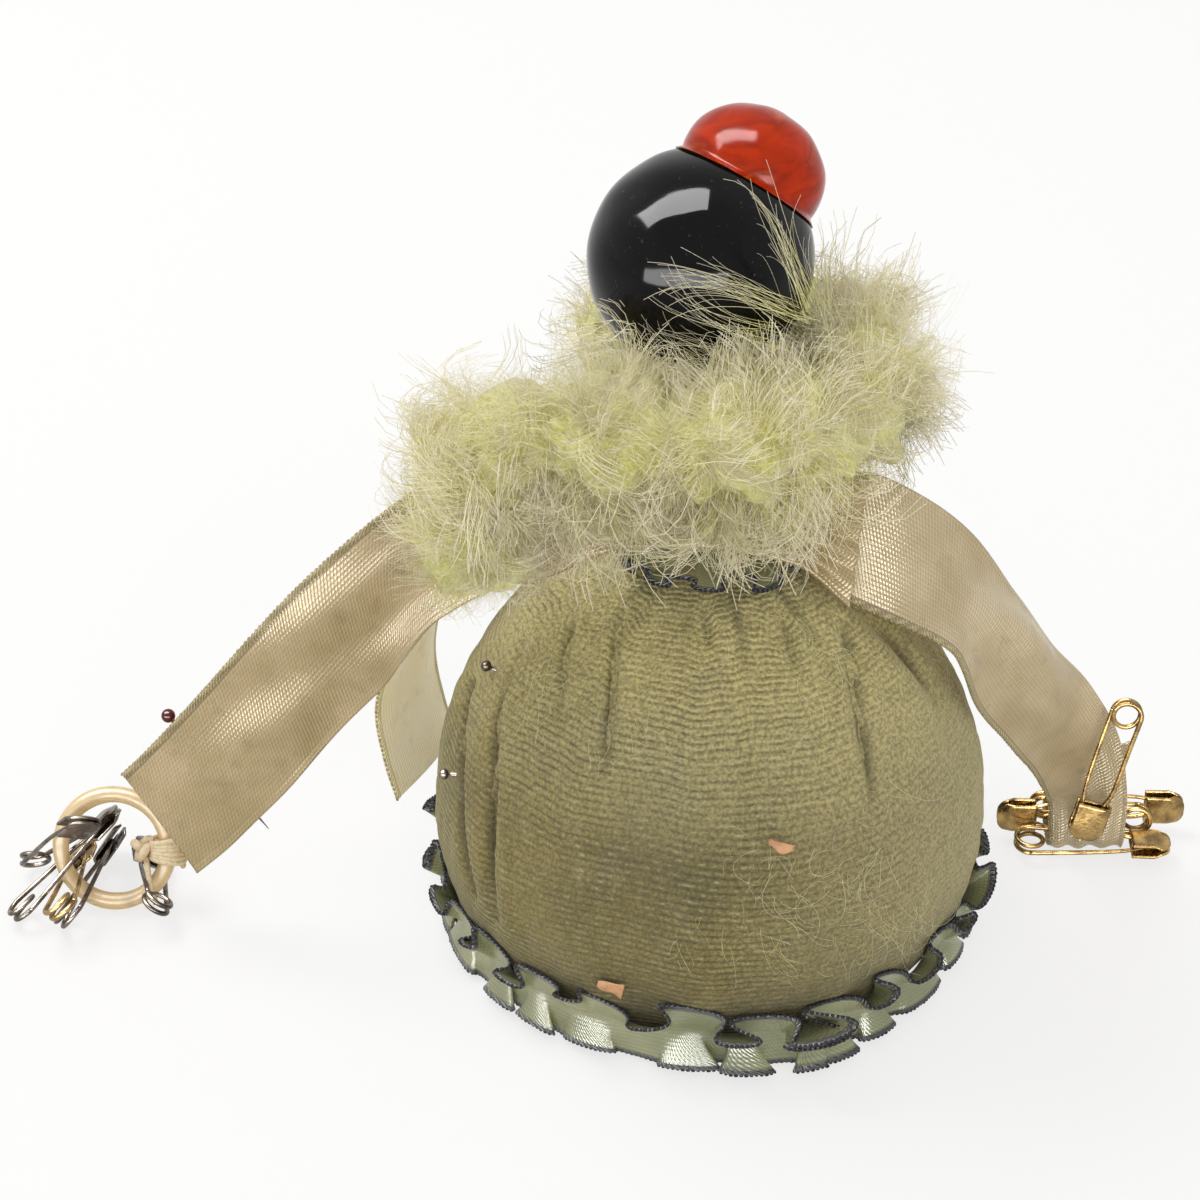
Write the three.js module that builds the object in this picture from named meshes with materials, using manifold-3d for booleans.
// Half doll pincushion in millimetres, +Z up.
// The origin is the centre of its base on the table. The doll faces +Y.
import * as THREE from 'three';
import { mergeVertices } from 'three/addons/utils/BufferGeometryUtils.js';
import Module from 'manifold-3d';

const wasm = await Module();
wasm.setup();

// Gaps
const clearance = 0.3;
const looseClearance = 0.5;

// Cushion: the cover is two half ellipses of revolution that meet at its widest height
const cushionRadius = 37;
const cushionWaistHeight = 18;
const crownRise = 40.7;
const undersideDepth = 32;
const coverThickness = 0.8;
const mouthRadius = 6;
const hemRadius = 25;
const gatherCount = 12;
const gatherDepth = 1.4;
const baseClothThickness = 0.8;
const baseClothRadius = 28;
const cardThickness = 1.2;
const cardRadius = 28;
const threadRadius = 0.45;

// Ruffle round the base and frill at the neck
const ruffleWidth = 9.4;
const ruffleThickness = 0.6;
const ruffleWaves = 24;
const ruffleHemHeight = 0.8;
const ruffleTopWave = 2.2;
const ruffleHemWave = 3;
const ruffleLapAngle = -72;
const ruffleLapRise = 3.6;
const frillInnerRadius = 6.4;
const frillWidth = 9.4;
const frillThickness = 0.5;
const frillHeight = 2.3;
const frillDrop = 1.2;
const frillWaves = 13;
const frillWave = 1.5;

// Doll: everything above the neck leans over the neck's centre
const dollLean = 3.5;
const dowelRadius = 2;
const dowelDepth = 38;
const dowelInHead = 6;
const flangeRadius = 7.2;
const flangeThickness = 1.7;
const flangeDrop = 2.9;
const waistRadius = 4.9;
const waistTop = 1.9;
const shoulderRadius = 9.5;
const shoulderHeight = 8.8;
const bustNeckRadius = 4.3;
const headRadius = 13.8;
const headCentreHeight = 39.9;
const headCrownRise = 13.3;
const headChinDrop = 11.8;
const headChinFlat = 0.8;
const headHalsRadius = 5.5;
const noseRadius = 1.7;
const capRadius = 9.1;
const capFlatness = 0.86;
const capPlace = [6.6, 5.6, 8.6];

// Marabou boa
const boaRadius = 9.2;
const boaLump = 0.9;
const boaLumps = 7;
const boaCordRadius = 1;

// Satin ribbon of the shoulders, arms and streamer
const satinThickness = 0.6;
const satinWidth = 18.5;
const gatheredWidth = 8.5;
const crushedWidth = 10.4;
const armWidth = 16.5;
const hingeGap = 0.6;
const hingeStep = 1.3;

// Bone ring at the left hand
const ringRadius = 7.5;
const ringWireRadius = 1.15;
const ringTilt = 25;
const ringPlace = [-81.5, -2.7];
const tieRadius = 2.9;
const tieSpread = 14;
const tieKnotInset = 3.4;
const tieKnotRadius = 2.3;
const tieFoot = [-71.4, -3.9, 10.4];
const tieFootRadius = 1.9;

// Safety pins
const pinWireRadius = 0.35;
const coilRadius = 1.88;
const coilPitch = 1.16;
const coilTurns = 1.5;
const claspLength = 5.5;
const claspHalfWidth = 2.4;
const claspWall = 0.4;
const claspPlay = 0.3;
const claspLegOffset = 1.35;
const steelPinLength = 21;
const shortPinLength = 19;
const brassPinLength = 22;

// Straight pins
const beadRadius = 0.95;
const shaftRadius = 0.3;
const glassPinLength = 22;
const steelShaftLength = 24;
const steelHeadRadius = 0.75;
const pinHoleRadius = shaftRadius + clearance;

// Materials
const finish = (color, roughness, metalness = 0) => new THREE.MeshStandardMaterial({ color, roughness, metalness });
const velvet = () => finish(0x8b8862, 0.9);
const greenSatin = () => finish(0xa9b48c, 0.5);
const champagneSatin = () => finish(0xc9b88f, 0.4);
const cottonThread = () => finish(0xd8c8a6, 0.8);
const down = () => finish(0xd3d795, 0.95);
const plainWood = () => finish(0xb58a5a, 0.6);
const blackLacquer = () => finish(0x0b0b0d, 0.15);
const redLacquer = () => finish(0xd0421a, 0.2);
const card = () => finish(0x9a8763, 0.9);
const filling = () => finish(0xcfc4a8, 1);
const bone = () => finish(0xe6d6ae, 0.4);
const darkSteel = () => finish(0x5d554e, 0.35, 1);
const brass = () => finish(0xb08d4a, 0.3, 1);
const redGlass = () => finish(0x5a1712, 0.1);

const radians = THREE.MathUtils.degToRad;
const vector = (x, y, z) => new THREE.Vector3(x, y, z);
const row = (count, make) => Array.from({ length: count }, (unused, i) => make(i));

const pincushion = new THREE.Group();

// Keep positions only, share the corners, drop flat slivers and turn the faces outwards
function weld(source) {
  const bare = new THREE.BufferGeometry();
  bare.setAttribute('position', source.getAttribute('position').clone());
  if (source.index) bare.setIndex(source.index.clone());
  const joined = mergeVertices(bare, 1e-4);
  const corners = joined.index.array;
  const place = joined.getAttribute('position');
  const [a, b, c] = [vector(), vector(), vector()];
  const kept = [];
  let volume = 0;
  for (let i = 0; i < corners.length; i += 3) {
    const [p, q, r] = [corners[i], corners[i + 1], corners[i + 2]];
    if (p === q || q === r || r === p) continue;
    kept.push(p, q, r);
    a.fromBufferAttribute(place, p);
    b.fromBufferAttribute(place, q);
    c.fromBufferAttribute(place, r);
    volume += a.dot(b.cross(c));
  }
  if (volume < 0) kept.reverse();
  joined.setIndex(kept);
  return joined;
}

function solid(source) {
  const mesh = weld(source);
  const vertProperties = new Float32Array(mesh.getAttribute('position').array);
  const triVerts = new Uint32Array(mesh.index.array);
  return new wasm.Manifold(new wasm.Mesh({ numProp: 3, vertProperties, triVerts }));
}

function surface(body) {
  const mesh = body.getMesh();
  const geometry = new THREE.BufferGeometry();
  geometry.setAttribute('position', new THREE.Float32BufferAttribute(mesh.vertProperties, 3));
  geometry.setIndex(Array.from(mesh.triVerts));
  return geometry;
}

function add(name, geometry, material, parent = pincushion) {
  const mesh = new THREE.Mesh(weld(geometry), material);
  mesh.name = name;
  mesh.geometry.computeVertexNormals();
  parent.add(mesh);
  return mesh;
}

// A turned piece about +Z from [radius, height] points
function turned(outline, segments) {
  const points = outline.map(([radius, height]) => new THREE.Vector2(radius, height));
  return new THREE.LatheGeometry(points, segments).rotateX(Math.PI / 2);
}

// A ring of round section about +Z
function torus(radius, wireRadius, segments, sides) {
  const outline = row(sides + 1, (i) => {
    const angle = (i / sides) * 2 * Math.PI;
    return [radius + wireRadius * Math.cos(angle), wireRadius * Math.sin(angle)];
  });
  return turned(outline, segments);
}

// Cloth of the given thickness about a grid of points; it may close on itself either way
function cloth(grid, thickness, roundAlong = false, roundAcross = false) {
  const rows = grid.length;
  const columns = grid[0].length;
  const keep = (n, count, round) => (round ? (n + count) % count : THREE.MathUtils.clamp(n, 0, count - 1));
  const at = (i, j) => grid[keep(i, rows, roundAlong)][keep(j, columns, roundAcross)];
  const depth = typeof thickness === 'function' ? thickness : () => thickness;
  const positions = [];
  for (const side of [1, -1]) {
    for (let i = 0; i < rows; i++) {
      for (let j = 0; j < columns; j++) {
        const along = at(i + 1, j).clone().sub(at(i - 1, j));
        const across = at(i, j + 1).clone().sub(at(i, j - 1));
        const offset = along.cross(across).setLength((side * depth(i, j)) / 2);
        positions.push(...offset.add(at(i, j)).toArray());
      }
    }
  }
  const corner = (side, i, j) => side * rows * columns + (i % rows) * columns + (j % columns);
  const index = [];
  const quad = (a, b, c, d) => index.push(a, b, c, a, c, d);
  const lastRow = roundAlong ? rows : rows - 1;
  const lastColumn = roundAcross ? columns : columns - 1;
  for (let i = 0; i < lastRow; i++) {
    for (let j = 0; j < lastColumn; j++) {
      quad(corner(0, i, j), corner(0, i + 1, j), corner(0, i + 1, j + 1), corner(0, i, j + 1));
      quad(corner(1, i, j), corner(1, i, j + 1), corner(1, i + 1, j + 1), corner(1, i + 1, j));
    }
  }
  for (let j = 0; j < lastColumn && !roundAlong; j++) {
    quad(corner(0, 0, j), corner(0, 0, j + 1), corner(1, 0, j + 1), corner(1, 0, j));
    quad(corner(0, rows - 1, j + 1), corner(0, rows - 1, j), corner(1, rows - 1, j), corner(1, rows - 1, j + 1));
  }
  for (let i = 0; i < lastRow && !roundAcross; i++) {
    const edge = columns - 1;
    quad(corner(0, i + 1, 0), corner(0, i, 0), corner(1, i, 0), corner(1, i + 1, 0));
    quad(corner(0, i, edge), corner(0, i + 1, edge), corner(1, i + 1, edge), corner(1, i, edge));
  }
  const geometry = new THREE.BufferGeometry();
  geometry.setAttribute('position', new THREE.Float32BufferAttribute(positions, 3));
  geometry.setIndex(index);
  return geometry;
}

// Rings of points square to a route, without twist from one to the next
function ringsAlong(points, radiusAt, sides) {
  const last = points.length - 1;
  let normal = null;
  return points.map((point, i) => {
    const ahead = points[Math.min(i + 1, last)].clone().sub(points[Math.max(i - 1, 0)]).normalize();
    if (!normal) normal = Math.abs(ahead.z) < 0.9 ? vector(0, 0, 1) : vector(1, 0, 0);
    normal = normal.clone().addScaledVector(ahead, -normal.dot(ahead)).normalize();
    const aside = ahead.clone().cross(normal);
    return row(sides, (k) => {
      const angle = (k / sides) * 2 * Math.PI;
      const out = normal.clone().multiplyScalar(Math.cos(angle)).addScaledVector(aside, Math.sin(angle));
      return out.multiplyScalar(radiusAt(i / last)).add(point);
    });
  });
}

// A solid rod through points, its radius constant or a function of the share of its steps
function rod(points, radius, sides) {
  const radiusAt = typeof radius === 'function' ? radius : () => radius;
  const rings = ringsAlong(points, radiusAt, sides);
  const positions = rings.flat().flatMap((corner) => corner.toArray());
  const index = [];
  for (let i = 0; i < rings.length - 1; i++) {
    for (let k = 0; k < sides; k++) {
      const [a, b] = [i * sides + k, i * sides + ((k + 1) % sides)];
      index.push(a, b, b + sides, a, b + sides, a + sides);
    }
  }
  const end = (rings.length - 1) * sides;
  for (let k = 1; k < sides - 1; k++) {
    index.push(0, k + 1, k);
    index.push(end, end + k, end + k + 1);
  }
  const geometry = new THREE.BufferGeometry();
  geometry.setAttribute('position', new THREE.Float32BufferAttribute(positions, 3));
  geometry.setIndex(index);
  return geometry;
}

// A tube with a bore along a route
function sleeve(points, outerAt, bore, sides) {
  const middle = (share) => (outerAt(share) + bore) / 2;
  const rings = ringsAlong(points, middle, sides);
  return cloth(rings, (i) => outerAt(i / (points.length - 1)) - bore, false, true);
}

// A ribbon through stations, each a place, the direction across it and its width there
function ribbon(stations, steps, bow = 0) {
  const route = new THREE.CatmullRomCurve3(stations.map((station) => vector(...station.at)));
  const halves = stations.map((station) => vector(...station.across).setLength(station.width / 2));
  const spread = new THREE.CatmullRomCurve3(halves);
  const grid = row(steps + 1, (i) => {
    const share = i / steps;
    const half = spread.getPoint(share);
    const crown = route.getTangent(share).cross(half).setLength(bow);
    return [-1, -1 / 3, 1 / 3, 1].map((u) =>
      route.getPoint(share).addScaledVector(half, u).addScaledVector(crown, 1 - u * u));
  });
  return cloth(grid, satinThickness);
}

// Cushion outline: outer radius and height at an angle from the waist, drawn in by an inset
function cushionPoint(angle, inset) {
  const rise = angle < 0 ? undersideDepth : crownRise;
  return [(cushionRadius - inset) * Math.cos(angle), cushionWaistHeight + (rise - inset) * Math.sin(angle)];
}

function cushionRadiusAt(height) {
  const rise = height < cushionWaistHeight ? undersideDepth : crownRise;
  return cushionRadius * Math.sqrt(1 - ((height - cushionWaistHeight) / rise) ** 2);
}

const neckHeight = cushionWaistHeight + crownRise * Math.sqrt(1 - (mouthRadius / cushionRadius) ** 2);
const doll = new THREE.Group();
doll.position.z = neckHeight;
doll.rotation.y = -radians(dollLean);
doll.updateMatrixWorld(true);
pincushion.add(doll);

// Straight pins in the cushion: a place on the cover, and the way out of it
const cushionPins = [
  { name: 'steel_pin_upper', side: 196, height: 43 },
  { name: 'steel_pin_lower', side: 200, height: 29 },
].map((pin) => {
  const radius = cushionRadiusAt(pin.height);
  const side = radians(pin.side);
  const slope = (pin.height - cushionWaistHeight) / crownRise;
  const out = vector(Math.cos(side), Math.sin(side), slope).normalize();
  const seat = vector(radius * Math.cos(side), radius * Math.sin(side), pin.height);
  return { ...pin, out, seat };
});

function straightPin(length, headRadius) {
  const shaft = solid(rod([vector(0, 0, -length), vector(0, 0, -length * 0.1), vector(0, 0, 0)],
    (share) => (share === 0 ? shaftRadius / 3 : shaftRadius), 6));
  const head = solid(new THREE.SphereGeometry(headRadius, 10, 6));
  return surface(shaft.add(head));
}

function pinHole(pin) {
  const ends = [-steelShaftLength - clearance, steelHeadRadius].map((reach) =>
    pin.seat.clone().addScaledVector(pin.out, reach));
  return solid(rod(ends, pinHoleRadius, 8));
}

// Base cloth, card and stuffing
function disc(radius, thickness, height) {
  return new THREE.CylinderGeometry(radius, radius, thickness, 40)
    .rotateX(Math.PI / 2).translate(0, 0, height + thickness / 2);
}
add('base_cloth', disc(baseClothRadius, baseClothThickness, 0), card());
const hemHeight = baseClothThickness + clearance + coverThickness / 2;
const cardHeight = hemHeight + coverThickness / 2 + clearance;
add('base_card', disc(cardRadius, cardThickness, cardHeight), card());

const flangeBottom = neckHeight - flangeDrop - flangeThickness;
function makeStuffing() {
  const inset = coverThickness + gatherDepth / 2 + looseClearance;
  const bottom = cardHeight + cardThickness + clearance;
  const leanDrop = flangeRadius * Math.sin(radians(dollLean));
  const top = flangeBottom - clearance - leanDrop;
  const lowest = Math.asin((bottom - cushionWaistHeight) / (undersideDepth - inset));
  const highest = Math.asin((top - cushionWaistHeight) / (crownRise - inset));
  const sides = row(11, (i) => cushionPoint(THREE.MathUtils.lerp(lowest, highest, i / 10), inset));
  const bore = rod([vector(0, 0, -dowelDepth - clearance), vector(0, 0, 0)], dowelRadius + clearance, 12);
  let body = solid(turned([[0, bottom], ...sides, [0, top]], 30));
  body = body.subtract(solid(bore.applyMatrix4(doll.matrixWorld)));
  for (const pin of cushionPins) body = body.subtract(pinHole(pin));
  return surface(body);
}
add('stuffing', makeStuffing(), filling());

// Velvet cover, turned under at the hem and drawn in to a gathered mouth at the neck
function makeCover() {
  const inset = coverThickness / 2;
  const mouthAngle = Math.acos(mouthRadius / (cushionRadius - inset));
  const hemAngle = Math.asin((hemHeight - cushionWaistHeight) / (undersideDepth - inset));
  const outline = [[hemRadius, hemHeight]];
  for (let i = 0; i < 3; i++) outline.push(cushionPoint(hemAngle * (1 - i / 3), inset));
  for (let i = 0; i <= 7; i++) outline.push(cushionPoint((mouthAngle * i) / 7, inset));
  const columns = gatherCount * 4;
  const grid = outline.map(([radius, height]) => {
    const rise = THREE.MathUtils.clamp((height - cushionWaistHeight) / crownRise, 0, 1);
    const depth = gatherDepth * rise * Math.min(1, radius / mouthRadius / 2.5) * (radius > hemRadius ? rise : 1);
    return row(columns, (j) => {
      const angle = (j / columns) * 2 * Math.PI;
      const fold = radius - depth * (0.5 - 0.5 * Math.cos(gatherCount * angle));
      return vector(fold * Math.cos(angle), fold * Math.sin(angle), height);
    });
  });
  let body = solid(cloth(grid, coverThickness, false, true));
  for (const pin of cushionPins) body = body.subtract(pinHole(pin));
  return surface(body);
}
add('velvet_cover', makeCover(), velvet());

for (const pin of cushionPins) {
  const mesh = add(pin.name, straightPin(steelShaftLength, steelHeadRadius), darkSteel());
  mesh.position.copy(pin.seat).addScaledVector(pin.out, steelHeadRadius + clearance);
  mesh.quaternion.setFromUnitVectors(vector(0, 0, 1), pin.out);
}

// Ruffle: a ribbon stitched along its middle, its two edges thrown into waves
function makeRuffle() {
  const columns = ruffleWaves * 5;
  const grid = [-1, -0.5, 0, 0.5, 1].map((v) => {
    const height = ruffleHemHeight + ((v + 1) / 2) * ruffleWidth;
    const cover = cushionRadiusAt(Math.max(height, hemHeight + ruffleWidth / 2));
    const seat = cover + clearance + ruffleThickness / 2;
    const wave = Math.abs(v) ** 1.3 * (v > 0 ? ruffleTopWave : ruffleHemWave) + 0.2;
    return row(columns, (j) => {
      const angle = (j / columns) * 2 * Math.PI;
      const off = Math.atan2(Math.sin(angle - radians(ruffleLapAngle)), Math.cos(angle - radians(ruffleLapAngle)));
      const lap = 1 + (ruffleLapRise / ruffleHemWave) * Math.exp(-((off / 0.22) ** 2));
      const swing = 0.5 + 0.5 * Math.sin(ruffleWaves * angle + (v > 0 ? 0.9 : -0.9));
      const radius = seat + wave * lap * swing;
      return vector(radius * Math.cos(angle), radius * Math.sin(angle), height);
    });
  });
  return cloth(grid, ruffleThickness, false, true);
}
add('base_ruffle', makeRuffle(), greenSatin());

// Thread that closes the cover's mouth round the bust's waist
const thread = add('gathering_thread', torus(waistRadius + clearance + threadRadius, threadRadius, 24, 6),
  cottonThread(), doll);
thread.position.z = threadRadius + coverThickness;

// Frill: a ribbon gathered round the neck, lying out over the cushion
function makeFrill() {
  const columns = frillWaves * 6;
  const grid = [0, 1 / 3, 2 / 3, 1].map((v) =>
    row(columns, (j) => {
      const angle = (j / columns) * 2 * Math.PI;
      const radius = frillInnerRadius + v * frillWidth;
      const height = frillHeight - frillDrop * v + frillWave * v ** 1.5 * Math.sin(frillWaves * angle);
      return vector(radius * Math.cos(angle), radius * Math.sin(angle), height);
    }));
  return cloth(grid, frillThickness, false, true);
}
const frill = add('neck_frill', makeFrill(), greenSatin());
frill.position.z = neckHeight;

// Bust, dowel, head and cap, in the leaning group whose origin is the neck
const bore = dowelRadius + clearance;
const headBottom = headCentreHeight - headChinDrop - headChinFlat;
const bustTop = headBottom - clearance;
add('bust', turned([
  [bore, -flangeDrop - flangeThickness],
  [flangeRadius, -flangeDrop - flangeThickness],
  [flangeRadius, -flangeDrop],
  [waistRadius, -flangeDrop + 1.1],
  [waistRadius, waistTop],
  [shoulderRadius - 1, waistTop + 3.7],
  [shoulderRadius, shoulderHeight],
  [shoulderRadius - 0.8, shoulderHeight + 2.6],
  [bustNeckRadius + 1, shoulderHeight + 6],
  [bustNeckRadius, shoulderHeight + 9],
  [bustNeckRadius, bustTop],
  [bore, bustTop],
  [bore, -flangeDrop - flangeThickness],
], 28), plainWood(), doll);

const dowelTop = headBottom + dowelInHead + bustNeckRadius;
add('dowel', new THREE.CylinderGeometry(dowelRadius, dowelRadius, dowelDepth + dowelTop, 12)
  .rotateX(Math.PI / 2).translate(0, 0, (dowelTop - dowelDepth) / 2), plainWood(), doll);

function headOutline(grow) {
  const crown = row(9, (i) => {
    const angle = (i / 8) * (Math.PI / 2);
    return [(headRadius + grow) * Math.cos(angle), (headCrownRise + grow) * Math.sin(angle)];
  });
  const chin = row(6, (i) => {
    const angle = -((6 - i) / 6) * radians(66);
    const drop = (headChinDrop + grow) / Math.sin(radians(66));
    return [(headRadius + grow) * Math.cos(angle) ** 0.8, drop * Math.sin(angle)];
  });
  crown[8][0] = 0;
  return [[0, -headChinDrop - headChinFlat], [headHalsRadius, -headChinDrop - headChinFlat], ...chin, ...crown];
}

function makeHead() {
  const depth = dowelTop - headCentreHeight + clearance;
  const socket = rod([vector(0, 0, -headRadius * 2), vector(0, 0, depth)], bore, 12);
  const nose = new THREE.SphereGeometry(noseRadius, 10, 8).scale(0.8, 0.9, 1.1)
    .translate(0, headRadius + noseRadius * 0.2, -1);
  return surface(solid(turned(headOutline(0), 30)).add(solid(nose)).subtract(solid(socket)));
}
const head = add('doll_head', makeHead(), blackLacquer(), doll);
head.position.z = headCentreHeight;

function makeCap() {
  const ball = new THREE.SphereGeometry(capRadius, 24, 14).rotateX(Math.PI / 2).scale(1, 1, capFlatness);
  const tilt = new THREE.Quaternion().setFromUnitVectors(vector(0, 0, 1), vector(...capPlace).normalize());
  ball.applyQuaternion(tilt).translate(...capPlace);
  return surface(solid(ball).subtract(solid(turned(headOutline(clearance), 30))));
}
const cap = add('cap', makeCap(), redLacquer(), doll);
cap.position.z = headCentreHeight;

// Marabou boa: from its tail at the left shoulder, round the back of the neck to the front
const boaRoute = new THREE.CatmullRomCurve3([
  vector(-28.5, -15.6, 61),
  vector(-29.5, -15, 72),
  vector(-23, -15, 80.5),
  vector(-9.5, -17.2, 82),
  vector(7.5, -16.4, 82.4),
  vector(16.8, -3.4, 82.4),
  vector(13, 11.8, 81.6),
  vector(-3, 17, 80.6),
  vector(-16, 9, 80),
]);
const boaSteps = 40;
const boaPoints = boaRoute.getSpacedPoints(boaSteps);
function boaRadiusAt(share) {
  const end = Math.min(1, Math.sqrt(Math.min(share, 1 - share) * 12) * 0.5 + 0.55);
  return (boaRadius + boaLump * Math.cos(share * boaLumps * 2 * Math.PI)) * end;
}
add('marabou_boa', sleeve(boaPoints, boaRadiusAt, boaCordRadius + looseClearance, 12), down());
add('marabou_cord', rod(boaPoints, boaCordRadius, 6), cottonThread());

// Satin ribbon over the shoulders, sewn on the back of the bust
const leftHinge = vector(-29, -4.8, 62.4);
const leftHingeAxis = vector(-0.06, 0.08, 0.99).normalize();
const rightHinge = vector(18.4, -8, 63.2);
const rightHingeAxis = vector(0.11, 0.42, 0.9).normalize();
const backOfBust = -(shoulderRadius + clearance + satinThickness / 2) - 0.2;
const upright = [0, 0, 1];
const leftSide = leftHingeAxis.toArray();
const rightSide = rightHingeAxis.toArray();
add('shoulder_ribbon', ribbon([
  { at: [leftHinge.x + hingeGap / 2, leftHinge.y, leftHinge.z], across: leftSide, width: satinWidth },
  { at: [-21.5, -7.4, 65.5], across: [0, 0.2, 1], width: satinWidth - 2 },
  { at: [-11.5, -9.2, 67.2], across: upright, width: gatheredWidth + 1 },
  { at: [-5, backOfBust, 67], across: upright, width: gatheredWidth },
  { at: [4, backOfBust, 66.7], across: upright, width: gatheredWidth },
  { at: [11, -9.9, 66.2], across: [0, 0.1, 1], width: gatheredWidth + 2 },
  { at: [rightHinge.x - hingeGap / 2, rightHinge.y, rightHinge.z], across: rightSide, width: armWidth },
], 26), champagneSatin());

// Left arm, hanging to the ring
const leftArmStations = [
  { at: [leftHinge.x - hingeGap / 2, leftHinge.y + hingeStep, leftHinge.z], across: leftSide, width: satinWidth },
  { at: [-36.5, -4.6, 58], across: [-0.12, 0.12, 0.98], width: satinWidth },
  { at: [-48.9, -4.5, 43.8], across: [-0.55, 0.04, 0.83], width: satinWidth },
  { at: [-56, -4.8, 35.4], across: [-0.56, 0, 0.83], width: satinWidth },
  { at: [-63.4, -5.4, 26.6], across: [-0.56, 0, 0.83], width: satinWidth },
  { at: [-69.4, -6, 19.8], across: [-0.55, 0, 0.84], width: satinWidth },
  { at: [-73.9, -6.4, 15.4], across: [-0.48, 0, 0.88], width: satinWidth },
];
add('left_arm_ribbon', ribbon(leftArmStations, 20), champagneSatin());

// Right arm, turned under at its end in a loop that holds the brass pins
const loopFront = 12.7;
const loopBack = 22;
const loopBend = 1.6;
const loopCentre = 53.8;
const loopFloor = 0.75;
const alongLoop = [1, 0, 0];
add('right_arm_ribbon', ribbon([
  { at: [rightHinge.x + hingeGap / 2, rightHinge.y + hingeStep, rightHinge.z], across: rightSide, width: armWidth },
  { at: [22.6, -6.6, 61.2], across: [0.16, 0.53, 0.83], width: armWidth },
  { at: [29.5, -4.2, 55.4], across: [0.31, 0.81, 0.49], width: armWidth },
  { at: [35.9, -0.5, 45.4], across: [0.44, 0.88, 0.16], width: armWidth },
  { at: [40.9, 3, 36.2], across: [0.54, 0.83, 0.11], width: armWidth },
  { at: [46.4, 7.5, 27.1], across: [0.71, 0.67, 0.24], width: armWidth - 1 },
  { at: [51, 11.6, 18], across: [0.88, 0.42, 0.2], width: armWidth - 3 },
  { at: [loopCentre - 0.4, loopFront + 0.1, 9.5], across: [1, 0.05, 0.05], width: crushedWidth + 0.6 },
  { at: [loopCentre, loopFront, 4], across: alongLoop, width: crushedWidth },
  { at: [loopCentre, loopFront + 0.2, loopFloor + 1.2], across: alongLoop, width: crushedWidth },
  { at: [loopCentre, loopFront + loopBend, loopFloor], across: alongLoop, width: crushedWidth },
  { at: [loopCentre, loopBack - loopBend, loopFloor], across: alongLoop, width: crushedWidth },
  { at: [loopCentre, loopBack - 0.2, loopFloor + 1.2], across: alongLoop, width: crushedWidth },
  { at: [loopCentre, loopBack + 0.2, 5], across: alongLoop, width: crushedWidth },
  { at: [loopCentre, loopBack + 0.4, 9], across: alongLoop, width: crushedWidth },
  { at: [loopCentre + 0.4, loopBack - 0.6, 13.5], across: alongLoop, width: crushedWidth + 1 },
], 56), champagneSatin());

// Streamer from the front of the neck, standing off the cushion's left side
add('front_streamer', ribbon([
  { at: [-6.9, 7.9, 66.5], across: [0.5, 0.45, 0.6], width: gatheredWidth },
  { at: [-16, 11, 64], across: [0.4, 0.7, 0.5], width: satinWidth - 6 },
  { at: [-28, 14, 55], across: [0.38, 0.9, 0.12], width: satinWidth - 2 },
  { at: [-37.6, 15.6, 42], across: [0.36, 0.93, 0], width: satinWidth },
  { at: [-42.4, 15.8, 28], across: [0.34, 0.94, 0], width: satinWidth },
  { at: [-41.6, 15.4, 17], across: [0.34, 0.94, 0], width: satinWidth },
  { at: [-40, 14.6, 11.6], across: [0.34, 0.94, 0], width: satinWidth },
], 20, 1), champagneSatin());

// Bone ring, leaning back on the table, with its centre, right and up directions
const tilt = radians(ringTilt);
const ringRight = vector(1, 0, 0);
const ringUp = vector(0, Math.sin(tilt), Math.cos(tilt));
const ringCentreHeight = clearance + ringWireRadius + ringRadius * Math.cos(tilt);
const ringCentre = vector(...ringPlace, ringCentreHeight);
function ringPoint(angle) {
  return ringCentre.clone().addScaledVector(ringRight, ringRadius * Math.cos(angle))
    .addScaledVector(ringUp, ringRadius * Math.sin(angle));
}
function ringTangent(angle) {
  return ringRight.clone().multiplyScalar(-Math.sin(angle)).addScaledVector(ringUp, Math.cos(angle));
}
const boneRing = add('bone_ring', torus(ringRadius, ringWireRadius, 32, 8), bone());
boneRing.position.copy(ringCentre);
boneRing.rotation.x = Math.PI / 2 - tilt;

// Knotted tie round the ring's right side, with its short tail
function makeTie() {
  const arc = (spread, reach) => row(7, (i) => ringPoint(radians(spread) * (i / 3 - 1) * reach));
  const wrap = solid(rod(arc(tieSpread, 1), (share) => tieRadius * (0.72 + 0.28 * Math.sin(share * Math.PI)), 12));
  const tunnel = solid(rod(arc(tieSpread, 1.6), ringWireRadius + looseClearance, 10));
  const knotPlace = ringPoint(0).addScaledVector(ringRight, -tieKnotInset);
  const knot = solid(new THREE.SphereGeometry(tieKnotRadius, 10, 8).translate(...knotPlace.toArray()));
  const foot = solid(new THREE.SphereGeometry(tieFootRadius, 10, 8).translate(...tieFoot));
  return surface(wrap.add(knot).add(foot).subtract(tunnel));
}
add('ring_tie', makeTie(), cottonThread());

// Parts of a safety pin: coil at the origin, clasp along +X, needle on the +Y side
const coilRise = (coilTurns * coilPitch) / 2;
function claspCentre(length) {
  return length - coilRadius - pinWireRadius - claspLength / 2;
}

function coilPoints() {
  const steps = Math.round(coilTurns * 12);
  return row(steps + 1, (i) => {
    const angle = -Math.PI / 2 - (i / steps) * coilTurns * 2 * Math.PI;
    const height = -coilRise + (i / steps) * 2 * coilRise;
    return vector(coilRadius * Math.cos(angle), coilRadius * Math.sin(angle), height);
  });
}

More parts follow.
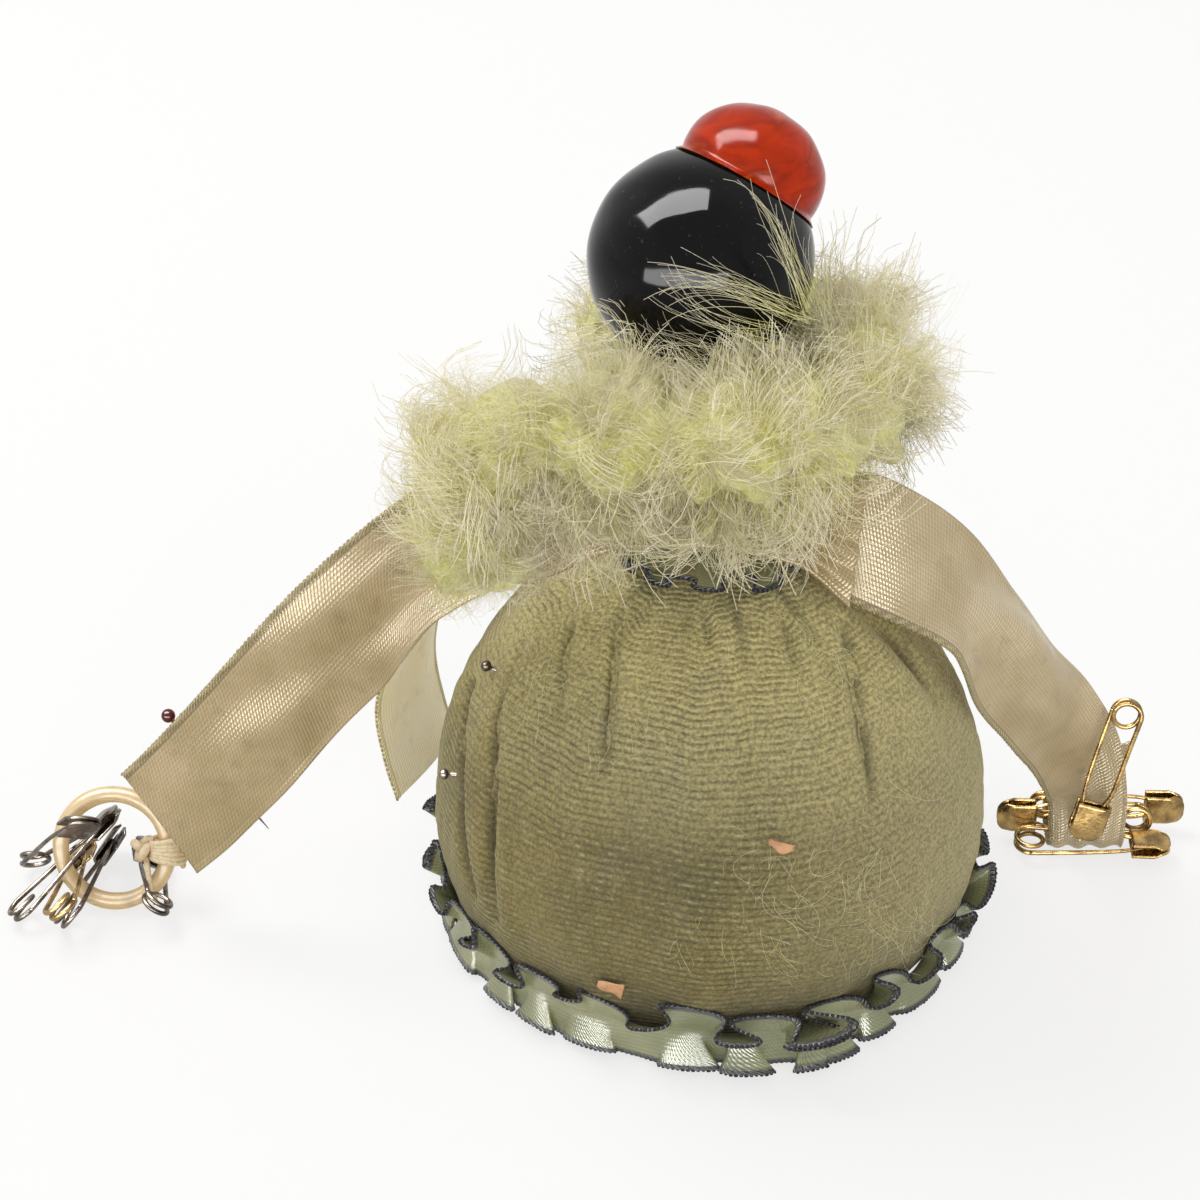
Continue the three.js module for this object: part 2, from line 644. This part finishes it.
function pinWire(length) {
  const clasp = claspCentre(length);
  const leg = [
    vector(clasp + claspLength / 2 - claspWall - looseClearance, -claspLegOffset, 0),
    vector(clasp - claspLength / 2, -claspLegOffset, 0),
    vector(clasp - claspLength / 2 - 1.8, -coilRadius, -coilRise * 0.2),
  ];
  return rod([...leg, ...coilPoints()], pinWireRadius, 6);
}

const needleHinge = vector(looseClearance, coilRadius, coilRise);
function pinNeedle(length) {
  const clasp = claspCentre(length);
  const points = [
    vector(0, 0, 0),
    vector(clasp - claspLength / 2 - 1.4 - needleHinge.x, 0, -coilRise * 0.85),
    vector(clasp - needleHinge.x, 0.9 - coilRadius, -coilRise),
    vector(clasp + 1.4 - needleHinge.x, 0.7 - coilRadius, -coilRise),
  ];
  return rod(points, (share) => pinWireRadius * (share === 1 ? 0.2 : 1 - 0.25 * share), 6);
}

function pinClasp() {
  const half = claspHalfWidth;
  const end = claspLength / 2;
  const depth = 2 * (pinWireRadius + claspPlay + claspWall);
  const outline = new THREE.Shape()
    .moveTo(-end, -half)
    .lineTo(end - half * 0.8, -half)
    .absarc(end - half * 0.8, -half * 0.2, half * 0.8, -Math.PI / 2, 0)
    .absarc(end - half * 0.8, half * 0.2, half * 0.8, 0, Math.PI / 2)
    .lineTo(-end, half);
  const shell = new THREE.ExtrudeGeometry(outline, { depth, bevelEnabled: false, curveSegments: 3 });
  const slot = 2 * (pinWireRadius + claspPlay);
  const pocket = new THREE.BoxGeometry(claspLength, 3 * half, slot)
    .translate(-claspWall, half / 2 + claspWall, 0);
  return surface(solid(shell.translate(0, 0, -depth / 2)).subtract(solid(pocket)));
}

// A safety pin from its coil's centre, its length's direction and its needle's side
function safetyPin(name, length, material, coil, ahead, needleSide) {
  const x = ahead.clone().normalize();
  const y = needleSide.clone().addScaledVector(x, -needleSide.dot(x)).normalize();
  const pin = new THREE.Group();
  pin.position.copy(coil);
  pin.quaternion.setFromRotationMatrix(new THREE.Matrix4().makeBasis(x, y, x.clone().cross(y)));
  pincushion.add(pin);
  add(`${name}_wire`, pinWire(length), material(), pin);
  add(`${name}_needle`, pinNeedle(length), material(), pin).position.copy(needleHinge);
  add(`${name}_clasp`, pinClasp(), material(), pin).position.x = claspCentre(length);
}

// Pins threaded on the ring: where on the ring, which way they run, and how far the coil lies from it
const ringPins = [
  { name: 'left_pin_1', length: steelPinLength, metal: darkSteel, on: 199.2, heading: 47.6, climb: 25.3, reach: 8, roll: -4.1 },
  { name: 'left_pin_2', length: steelPinLength, metal: darkSteel, on: 233.5, heading: 79.2, climb: 1, reach: 5.2, roll: -0.1 },
  { name: 'left_pin_3', length: steelPinLength, metal: darkSteel, on: 172.8, heading: -39.2, climb: 44.4, reach: 9.3, roll: -4.9 },
  { name: 'left_pin_4', length: shortPinLength, metal: darkSteel, on: 318.3, heading: 104.9, climb: -6.7, reach: 4.6, roll: -15 },
  { name: 'left_pin_5', length: steelPinLength, metal: brass, on: 215.2, heading: 92.5, climb: -11, reach: 8.7, roll: -8.5 },
];
for (const pin of ringPins) {
  const [heading, climb, on] = [radians(pin.heading), radians(pin.climb), radians(pin.on)];
  const ahead = vector(Math.cos(climb) * Math.cos(heading), Math.cos(climb) * Math.sin(heading), Math.sin(climb));
  const needleSide = ringTangent(on).cross(ahead).applyAxisAngle(ahead, radians(pin.roll));
  safetyPin(pin.name, pin.length, pin.metal, ringPoint(on).addScaledVector(ahead, -pin.reach), ahead, needleSide);
}

// Brass pins at the right hand: one upright in front of the loop, three lying through it
const edgeHeight = 1.35 + claspHalfWidth;
safetyPin('right_pin_1', brassPinLength, brass, vector(57.2, 11.4, 25.2), vector(-4.1, -2.6, -16.4), vector(-1, 0, 0));
safetyPin('right_pin_2', brassPinLength, brass, vector(48.4, 19.6, edgeHeight), vector(1, 0, 0), vector(0, 0, 1));
safetyPin('right_pin_3', brassPinLength, brass, vector(45.8, loopFront, 2.5), vector(1, 0, 0), vector(0, -1, 0));
safetyPin('right_pin_4', brassPinLength, brass, vector(61.2, 16.75, edgeHeight), vector(-1, 0, 0), vector(0, 0, 1));

// Glass-headed pin behind the left arm, its bead past the ribbon's upper edge
const glassPin = add('glass_pin', straightPin(glassPinLength, beadRadius), redGlass());
glassPin.position.set(-71.9, -4.2, 31.6);
glassPin.quaternion.setFromUnitVectors(vector(0, 0, 1), vector(-0.56, 0, 0.83).normalize());

// Least gap of a pin's wire to itself, between steps more than half a turn apart
function leastSelfGap(points, wireRadius, apart) {
  let least = Infinity;
  for (let i = 0; i < points.length; i++) {
    for (let j = i + apart; j < points.length; j++) least = Math.min(least, points[i].distanceTo(points[j]));
  }
  return least - 2 * wireRadius;
}
console.log('least gap between the turns of a pin coil:', leastSelfGap(coilPoints(), pinWireRadius, 7).toFixed(2), 'mm');

export default pincushion;
